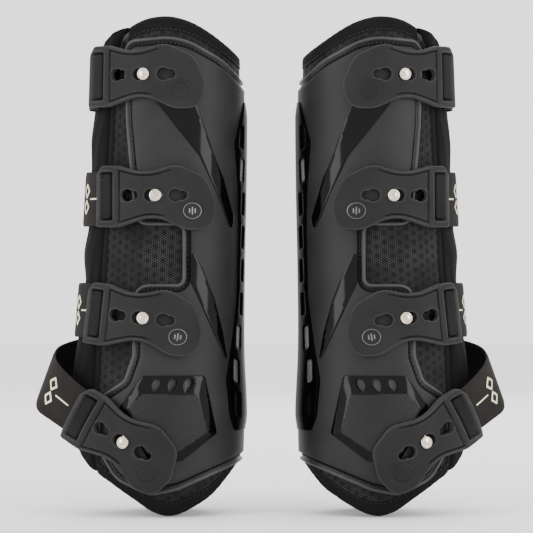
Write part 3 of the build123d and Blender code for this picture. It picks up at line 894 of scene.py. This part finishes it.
# ---- straps ----
class Seat:
    """Where a tab lies: maps points of the tab's plane, square on to its stud, to the boot's surface."""

    def __init__(self, strap):
        x, z, tilt, self.low, self.curl = strap
        centre, half = section(z)
        self.angle = math.acos((x - centre) / (half + self.low + TAB_THICKNESS + 1))
        self.normal = np.array([WIDTH_RATIO * math.cos(self.angle), -math.sin(self.angle), 0])
        self.normal /= np.linalg.norm(self.normal)
        self.level = np.array([-self.normal[1], self.normal[0], 0])
        self.tilt = math.radians(tilt)
        self.along = self.level * math.cos(self.tilt) - np.array([0, 0, 1]) * math.sin(self.tilt)
        self.across = self.level * math.sin(self.tilt) + np.array([0, 0, 1]) * math.cos(self.tilt)
        self.z = z
        self.origin = surface(self.angle, z, 0.0)

    def angles(self, flat):
        """Angle and height of the surface under points of the tab's plane."""
        p, w = flat[:, 0], flat[:, 1]
        z = self.z - p * math.sin(self.tilt) + w * math.cos(self.tilt)
        centre, half = section(z)
        wanted = p * math.cos(self.tilt) + w * math.sin(self.tilt)
        wanted = wanted + self.level @ self.origin - self.level[0] * centre
        first, second = self.level[0] * half, -self.level[1] * half * WIDTH_RATIO
        size = np.hypot(first, second)
        middle = np.arctan2(second, first)
        turn = np.arccos(np.clip(wanted / size, -1, 1))
        return middle + turn, z

    def points(self, flat, out):
        angle, z = self.angles(flat)
        lift = self.curl * np.clip(-9 - flat[:, 0], 0, None) ** 2
        return surface(angle, z, out + lift)


SEATS = [Seat(strap) for strap in STRAPS]
TAB_OUTLINE = [  # along the strap, across it, corner radius
    (-34.8, 12.5, 3), (-31.8, 18.2, 2), (-22, 18, 9), (-6, 13.4, 30), (12, 19, 13), (27.5, 11, 12),
    (33, -6, 12), (30, -20.5, 10), (17, -21, 14), (0, -12.2, 22), (-22, -19.3, 10), (-35, -19, 1.5),
]
EDGE_INSET = 2.5  # from a tab's edge to its line
LINE_AT = -20.8  # the line's straight stretch, beside the window


def keyhole(at):
    """Keyhole loop: a large lobe towards the front and a small one towards the back, with a soft neck."""
    middle, neck = -1.2, 2.3
    points = []
    for turn in np.linspace(0, 2 * math.pi, 44, endpoint=False):
        ray = np.array([math.cos(turn), math.sin(turn)])
        reach = neck
        for centre, radius in ((-2.6, 3.7), (1.1, 2.7)):
            b = (centre - middle) * ray[0]
            inside_root = b * b - (centre - middle) ** 2 + radius**2
            if inside_root > 0:
                reach = max(reach, b + math.sqrt(inside_root))
        points.append((middle + ray[0] * reach + at, ray[1] * reach))
    return np.array(points)


def tab_relief(flat, out, loop, holes):
    """Moulded relief of a tab's upper face: edge line, ridge beside the window, rims round the keyholes."""
    p, w = flat[:, 0], flat[:, 1]
    edge = distance_to(flat, [resample(loop, 0.3)])
    *keyholes, window = [distance_to(flat, [resample(hole, 0.3)]) for hole in holes]
    fade = np.clip((10 - p) / 10, 0, 1) * np.clip(p + 21.4, 0, 1)
    relief = (swell(edge - EDGE_INSET - 0.1, -0.6, 0.4) + swell(edge - 1.3, 0.22, 0.9)) * fade
    relief += swell(p - LINE_AT + 2, 0.3, 1.2, 4) * (edge > 0.8)
    relief += swell(p - LINE_AT, -0.5, 0.42) * np.clip((edge - 2.0) / 0.6, 0, 1)
    relief += swell(np.min(keyholes, axis=0), 0.3, 0.9) + swell(window - 0.9, 0.3, 0.7)
    relief += swell(np.abs(np.hypot(p - BADGE_AT[0], w - BADGE_AT[1]) - 6.1), -0.35, 0.45)
    return out + np.where(out > TAB_THICKNESS - 1.2, relief, 0)


def lay_on_tab(name, k, mesh, skin):
    """Makes a piece from a flat mesh laid on a strap's tab."""
    flat, level, faces = mesh
    seat = SEATS[k - 1]
    make(name, seat.points(flat, seat.low + level), faces, flat, skin, f"strap_{k}")


def edge_line(loop):
    """Thin line of painted shade in the groove inside a tab's edge, from its tip to the bar beside the window
    and back.
    """
    inset = resample(loop, 0.6)
    inset = inset - normals_of(inset) * EDGE_INSET
    behind = inset[:, 0] > LINE_AT
    upper = inset[(inset[:, 1] > 0) & behind & (inset[:, 0] < 9)]
    lower = inset[(inset[:, 1] < 0) & behind & (inset[:, 0] < 5)]
    path = np.vstack([upper[np.argsort(-upper[:, 0])], lower[np.argsort(lower[:, 0])]])
    half, top = 0.27, TAB_THICKNESS
    profile = [(-half, top - 0.4), (half, top - 0.4), (half, top + 0.03), (-half, top + 0.03)]
    return piped(resample(path, 0.6, closed=False), profile, closed=False)


def make_tabs():
    loop = rounded(TAB_OUTLINE, 0.7)
    holes = [keyhole(k * KEYHOLE_PITCH) for k in (-1, 0, 1)]
    holes.append(rectangle(-32.4, -24.8, -15.0, 14.2, 1.2, 0.6))
    flat, level, faces = plate(loop, holes, 0.0, TAB_THICKNESS, 0.75, 0.62)
    level = tab_relief(flat, level, loop, holes)
    arc = np.stack([UNROLL * np.arcsin(np.clip(flat[:, 0] / UNROLL, -1, 1)), flat[:, 1]], -1)
    line = edge_line(loop)
    for k, seat in enumerate(SEATS, start=1):
        points = seat.points(flat, seat.low + level)
        make(f"tab_{k}", points, faces, arc, RUBBER, f"strap_{k}", f"tab_{k}", "strap_rubber")
        # A line of painted shade along the groove inside the tab's edge.
        lay_on_tab(f"tab_{k}_line", k, line, GROOVE_SHADE)
        make_window_web(k, seat)
        make_badge(k, seat)


def make_window_web(k, seat):
    """Elastic seen through a tab's window, with the rows of stitches that hold it. The elastic there is a
    darker, greyer copy: painted shade.
    """
    patch = plate(rectangle(-31.3, -25.9, -13.9, 13.1, 1.2), (), 0.4, 3.0, 0.7, 1.0)
    sheet = plate(rectangle(-34, -23.4, -17, 16, 1.2), (), 0.05, 0.35, 0.1, 1.6)
    flat, level, faces = merged([patch, sheet])
    points = seat.points(flat, seat.low + level)
    # The web takes the darker copy of the elastic: painted shade in the window.
    make(f"tab_{k}_web", points, faces, flat[:, ::-1], ELASTIC_IN_SHADE, f"strap_{k}", slot="elastic_web")
    share = np.linspace(0, 1, 120)
    rows = []
    for x in (-31.9, -25.3):
        path = np.stack([x + 0.12 * np.sin(40 * share), 12.6 - 26 * share], -1)
        rows.append(stitch_row(path, 2.2, length=2.0, gap=0.7, radius=0.3))
    lay_on_tab(f"tab_{k}_stitches", k, merged(rows), THREAD)


def make_badge(k, seat):
    """Round disc with a ring and a plain three-bar device, bright silver on the middle straps only, as a
    painted glint.
    """
    cx, cz = BADGE_AT
    # The middle straps' ring and bars are silver as a painted glint; the others keep the disc's rubber.
    bright = 1 if k in (2, 3) else 0
    parts = [(plate(circle(BADGE_AT, 5.3, 60), (), 2.7, 3.25, 0.2, 0.8), 0)]
    ring = plate(circle(BADGE_AT, 4.9, 56), [circle(BADGE_AT, 4.5, 48)], 3.2, 3.5, 0.12, 0.6)
    parts.append((ring, bright))
    for x, half in ((cx - 1.5, 1.5), (cx, 2.4), (cx + 1.5, 1.5)):
        bar = rectangle(x - 0.4, x + 0.4, cz - half, cz + half, 0.3, 0.3)
        parts.append((plate(bar, (), 3.2, 3.45, 0.1, 0.4), bright))
    rows = [(seat.points(flat, seat.low + level), faces, flat, kind) for (flat, level, faces), kind in parts]
    points, faces, flat, kinds = joined(rows)
    skins = [BADGE, GLINT_SILVER]
    make(f"badge_{k}", points, faces, flat, skins, f"strap_{k}", f"badge_{k}", "badge_silver", kinds)


def turned(profile, origin, axis):
    """Solid of revolution from (radius, height) rows, closed on its axis at both ends."""
    ring = 48
    first = np.cross(axis, [0, 0, 1.0])
    first /= np.linalg.norm(first)
    second = np.cross(axis, first)
    turns = 2 * math.pi * np.arange(ring) / ring
    spokes = np.outer(np.cos(turns), first) + np.outer(np.sin(turns), second)
    points = np.concatenate([origin + axis * height + spokes * radius for radius, height in profile])
    flat = np.array([(m * 0.4, h) for _, h in profile for m in range(ring)], float)
    return points, strips(len(profile), ring), flat


STUD_HEAD = [  # radius, and height over the tab, with a ring sunk in the top
    (1.9, -0.2), (2.8, 0), (3.5, 0.15), (3.75, 0.5), (3.7, 0.95), (3.4, 1.3), (2.9, 1.42), (2.55, 1.15),
    (2.2, 1.1), (1.5, 1.35), (0.7, 1.5), (0.05, 1.53),
]


def make_studs():
    rows = []
    for seat in SEATS:
        top = seat.low + TAB_THICKNESS + 0.4
        profile = [(1.8, -3.2), (1.9, -0.3), (4.4, -0.3), (4.5, 0.3), (4.2, 0.8), (2.2, 0.9), (1.9, 1.3)]
        profile += [(radius, top + rise) for radius, rise in STUD_HEAD]
        points, faces, flat = turned(profile, seat.origin, seat.normal)
        rows.append((points, [f[::-1] for f in faces], flat, 0))
    points, faces, flat, _ = joined(rows)
    make("studs", points, faces, flat, NICKEL, node="studs", slot="nickel", sharp=math.radians(50))


def ribbon(stations):
    """Closed ribbon from rows of (centre, width direction, outward direction), with soft edges."""
    steps = 16
    share = 2 * np.arange(steps + 1) / steps - 1
    soft = 1 - 4.5 * np.maximum(0, np.abs(share) - 0.9)
    runs = station_runs(stations)
    points, flat = [], []
    for (centre, across, outward), run in zip(stations, runs):
        for level in (-0.5, 0.5):
            rise = level * ELASTIC_THICKNESS * soft
            points.append(centre + np.outer(share * ELASTIC_WIDTH / 2, across) + np.outer(rise, outward))
            flat.append(np.stack([np.full(steps + 1, run), share * ELASTIC_WIDTH / 2], -1))
    count = steps + 1
    faces = []
    for i in range(len(stations) - 1):
        a, b = i * 2 * count, (i + 1) * 2 * count
        for k in range(steps):
            faces.append((a + k, a + k + 1, b + k + 1, b + k))
            faces.append((a + count + k, b + count + k, b + count + k + 1, a + count + k + 1))
        faces.append((a, b, b + count, a + count))
        faces.append((a + steps, a + count + steps, b + count + steps, b + steps))
    last = (len(stations) - 1) * 2 * count
    for k in range(steps):
        faces.append((k, count + k, count + k + 1, k + 1))
        faces.append((last + k, last + k + 1, last + count + k + 1, last + count + k))
    return np.concatenate(points), [f[::-1] for f in faces], np.concatenate(flat)


def station_runs(stations):
    """Distance along a ribbon to each of its stations."""
    return np.r_[0, np.cumsum([np.linalg.norm(b[0] - a[0]) for a, b in zip(stations, stations[1:])])]


def print_mark(stations, at):
    """Printed mark on an elastic: two open lozenges and a thin line, lying on the ribbon's outer face."""
    runs, parts = station_runs(stations), np.array(stations).transpose(1, 0, 2)
    shapes = []
    for middle in (-4.9, 4.9):
        outer, inner = (
            rounded([(at - wide, middle, 0.5), (at, middle + tall, 0.5), (at + wide, middle, 0.5),
                     (at, middle - tall, 0.5)], 0.7)
            for wide, tall in ((4.6, 4.9), (2.7, 2.9))
        )
        shapes.append(plate(outer, [inner], 0.0, 0.06, 0.02, 0.8))
    shapes.append(plate(rectangle(at - 18, at - 5.4, -0.5, 0.5, 0.2, 0.5), (), 0, 0.06, 0.02, 0.8))
    rows = []
    for flat, level, faces in shapes:
        centre, across, outward = (
            np.stack([np.interp(flat[:, 0], runs, part[:, k]) for k in range(3)], -1) for part in parts
        )
        points = centre + across * flat[:, 1:2] + outward * (ELASTIC_THICKNESS / 2 + 0.02 + level)[:, None]
        rows.append((points, [f[::-1] for f in faces], flat, 1))
    return rows


def level_stations(seat, height):
    """Centre line of a level elastic, from under its tab's frame round the front to the inner side."""
    end_angle, _ = seat.angles(np.array([[-33.0, 0.0]]))
    angles = np.radians(np.linspace(math.degrees(end_angle[0]) - 6, ELASTIC_END, 130))
    found = []
    for share, angle in zip((angles - angles[0]) / (angles[-1] - angles[0]), angles):
        relax = 1.7 * math.sin(share * math.pi) + 500 * seat.curl * (1 - share) ** 3
        centre = surface(angle, height, -0.1 + relax)
        outward = np.array([WIDTH_RATIO * math.cos(angle), -math.sin(angle), 0])
        across = surface(angle, height + ELASTIC_WIDTH / 2, 0) - surface(angle, height - ELASTIC_WIDTH / 2, 0)
        found.append((centre, across / np.linalg.norm(across), outward / np.linalg.norm(outward)))
    return found


def loop_stations():
    """Centre line of the lowest elastic, which stands off the front of the fetlock."""
    at = np.linspace(0, len(LOOP_LOWER) - 1, 170)
    edges = []
    for rows in (LOOP_LOWER, LOOP_UPPER):
        found = hermite([(k, *row) for k, row in enumerate(rows)], at)
        edges.append(surface(np.radians(found[:, 0]), found[:, 1], found[:, 2]))
    centres = (edges[0] + edges[1]) / 2
    across = edges[1] - edges[0]
    across /= np.linalg.norm(across, axis=1)[:, None]
    outward = np.cross(across, np.gradient(centres, axis=0))
    outward /= np.linalg.norm(outward, axis=1)[:, None]
    away = (centres - np.array([-3.5, 0, 0])) * [1, 1, 0]
    outward *= np.sign((outward * away).sum(1))[:, None]
    return list(zip(centres, across, outward))


PRINT_AT = [None, 23.0, 23.0, 38.0]  # how far along each elastic its mark lies


def make_elastics():
    stations = [level_stations(seat, height) for seat, height in zip(SEATS, ELASTIC_HEIGHTS)]
    stations.append(loop_stations())
    for k, (rows, mark) in enumerate(zip(stations, PRINT_AT), start=1):
        parts = [(*ribbon(rows), 0)]
        if mark:
            parts += print_mark(rows, mark)
        points, faces, flat, kinds = joined(parts)
        skins = [ELASTIC, PRINT]
        made = make(f"elastic_{k}", points, faces, flat, skins, None, f"elastic_{k}", "elastic_web", kinds)
        for side, piece in made.items():
            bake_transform(piece)


def make_anchors():
    """Patches on the inner side where the elastics are sewn down, with a box of stitches."""
    patches, seams = [], []
    for x, z in ANCHORS:
        patch = mirrored(unrolled(rectangle(x - 9, x + 9, z - 17, z + 17, 2.5)))
        patches.append(plate(patch, (), 1.0, 2.2, 0.5, 1.3))
        box = mirrored(unrolled(rectangle(x - 6.5, x + 6.5, z - 14, z + 14, 1)))
        seams.append(stitch_row(np.vstack([box, box[:1]]), 2.15, radius=0.35))
    lay("strap_anchors", merged(patches), RUBBER, node="strap_anchors", slot="strap_rubber")
    lay("anchor_stitches", merged(seams), THREAD)


def finish_hidden_nodes():
    """Backing washers stay as their CAD solids, in the studs' metal."""
    for side in ("left", "right"):
        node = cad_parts[f"{side}_stud_washers"]
        node.data.materials.clear()
        node.data.materials.append(NICKEL)


# ---- stage ----
VIEW_CENTRE = Vector((-0.0027, -0.04, 0.1505))
VIEW_WIDTH = 0.3198
VIEW_DISTANCE = 1.8
FLOOR_HALF = 4.0
LIGHTS = [  # name, place, size, watts
    ("left_box", (-1.26, -0.98, 0.35), (0.5, 1.5), 17),
    ("right_box", (1.26, -0.98, 0.35), (0.5, 1.5), 17),
    ("top", (0.0, -0.3, 1.6), (1.0, 1.0), 5),
    ("back", (0.3, 1.4, 0.9), (0.8, 0.8), 8),
]


def stand(name, data, place):
    """New object in the scene."""
    made = bpy.data.objects.new(name, data)
    made.location = place
    bpy.context.scene.collection.objects.link(made)
    return made


def make_stage():
    """Pale floor, soft lights and the camera square on to the outer sides of the boots."""
    mesh = bpy.data.meshes.new("floor")
    corners = [(x * FLOOR_HALF, y * FLOOR_HALF, 0) for x, y in ((-1, -1), (1, -1), (1, 1), (-1, 1))]
    mesh.from_pydata(corners, [], [(0, 1, 2, 3)])
    paint = bpy.data.materials.new("floor_paint")
    paint.use_nodes = True
    shader = paint.node_tree.nodes["Principled BSDF"]
    shader.inputs["Base Color"].default_value = (0.86, 0.86, 0.86, 1)
    shader.inputs["Roughness"].default_value = 0.9
    mesh.materials.append(paint)
    stand("floor", mesh, (0, 0, -0.0005))
    world = bpy.data.worlds.new("studio")
    world.use_nodes = True
    backdrop = world.node_tree.nodes["Background"]
    backdrop.inputs["Color"].default_value = (1, 1, 1, 1)
    backdrop.inputs["Strength"].default_value = 2.0
    bpy.context.scene.world = world
    for name, place, size, power in LIGHTS:
        lamp = bpy.data.lights.new(name, "AREA")
        lamp.shape = "RECTANGLE"
        lamp.energy = power
        lamp.size, lamp.size_y = size
        aim = Vector((0, 0, 0.15)) - Vector(place)
        stand(name, lamp, place).rotation_euler = aim.to_track_quat("-Z", "Y").to_euler()
    camera = bpy.data.cameras.new("camera")
    camera.sensor_width = 36
    camera.lens = 36 * VIEW_DISTANCE / VIEW_WIDTH
    camera.clip_start, camera.clip_end = 0.05, 20
    holder = stand("camera", camera, VIEW_CENTRE + Vector((0, -VIEW_DISTANCE, 0)))
    holder.rotation_euler = (math.radians(90), 0, 0)
    bpy.context.scene.camera = holder


make_sleeve()
make_shell()
make_panels()
make_inlays()
make_guard()
make_tabs()
make_studs()
make_elastics()
make_anchors()
finish_hidden_nodes()
make_stage()
